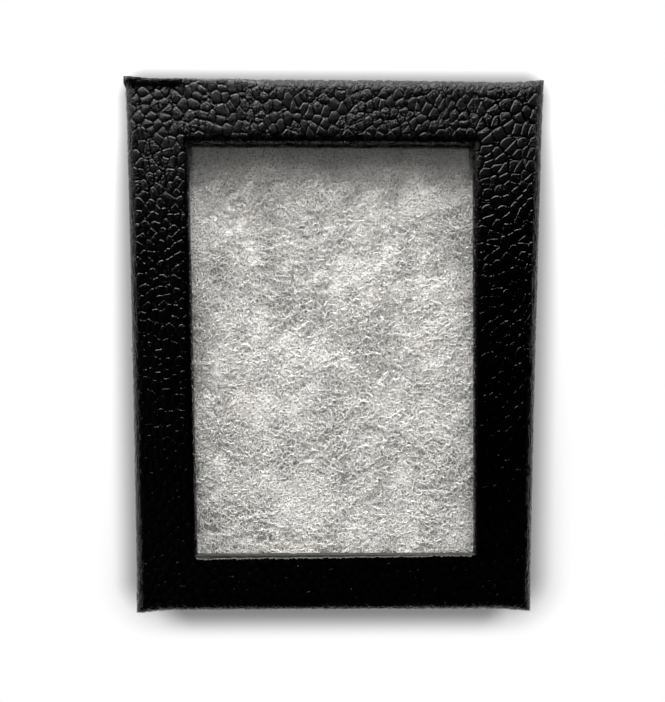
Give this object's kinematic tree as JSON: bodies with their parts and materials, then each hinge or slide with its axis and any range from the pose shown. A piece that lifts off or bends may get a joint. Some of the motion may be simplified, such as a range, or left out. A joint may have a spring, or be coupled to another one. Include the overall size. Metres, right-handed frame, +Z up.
{
  "type": "glass-topped specimen display box",
  "caption": "Shallow rectangular specimen box: a deep lid with a glass window slides down over a tray filled with a white fibre pad, and a steel pin locks each long wall.",
  "frame": {"origin": "centre of the closed box's underside, on the surface it lies on", "axes": "+Z up out of the window, +Y along the box towards the far end, +X to the right across the box"},
  "size_m": [0.0884, 0.108, 0.0191],
  "materials": {
    "chipboard": "grey-brown chipboard, matt, with a fibrous cut edge",
    "grained_paper": "black embossed paper with a pebbled leather grain and a satin varnish",
    "tray_paper": "thinner black embossed paper of the same grain",
    "gummed_tape": "brown gummed kraft tape",
    "strip_card": "plain grey card strip",
    "window_glass": "clear float glass, seamed edges",
    "white_fibre": "white crimped polyester fibre batting",
    "pin_steel": "nickel-plated steel pin"
  },
  "bodies": {
    "tray": {"tray_board": "chipboard", "tray_wrap": "tray_paper", "fibre_pad": "white_fibre", "tray_stay_near_left": "gummed_tape", "tray_stay_near_right": "gummed_tape", "tray_stay_far_left": "gummed_tape", "tray_stay_far_right": "gummed_tape"},
    "lid": {"lid_board": "chipboard", "lid_wrap": "grained_paper", "window_glass": "window_glass", "lid_stay_near_left": "gummed_tape", "lid_stay_near_right": "gummed_tape", "lid_stay_far_left": "gummed_tape", "lid_stay_far_right": "gummed_tape", "glass_strip_left": "strip_card", "glass_strip_right": "strip_card", "glass_strip_near": "strip_card", "glass_strip_far": "strip_card"},
    "pin_left": {"pin_left": "pin_steel"},
    "pin_right": {"pin_right": "pin_steel"}
  },
  "joints": [
    {"name": "lid_lift", "type": "slide", "parent": "tray", "child": "lid", "axis": [0, 0, 1], "range_m": [0, 0.03]},
    {"name": "pin_left_pull", "type": "slide", "parent": "lid", "child": "pin_left", "axis": [-1, 0, 0], "range_m": [-0.00235, 0.012]},
    {"name": "pin_right_pull", "type": "slide", "parent": "lid", "child": "pin_right", "axis": [1, 0, 0], "range_m": [-0.00235, 0.012]}
  ]
}
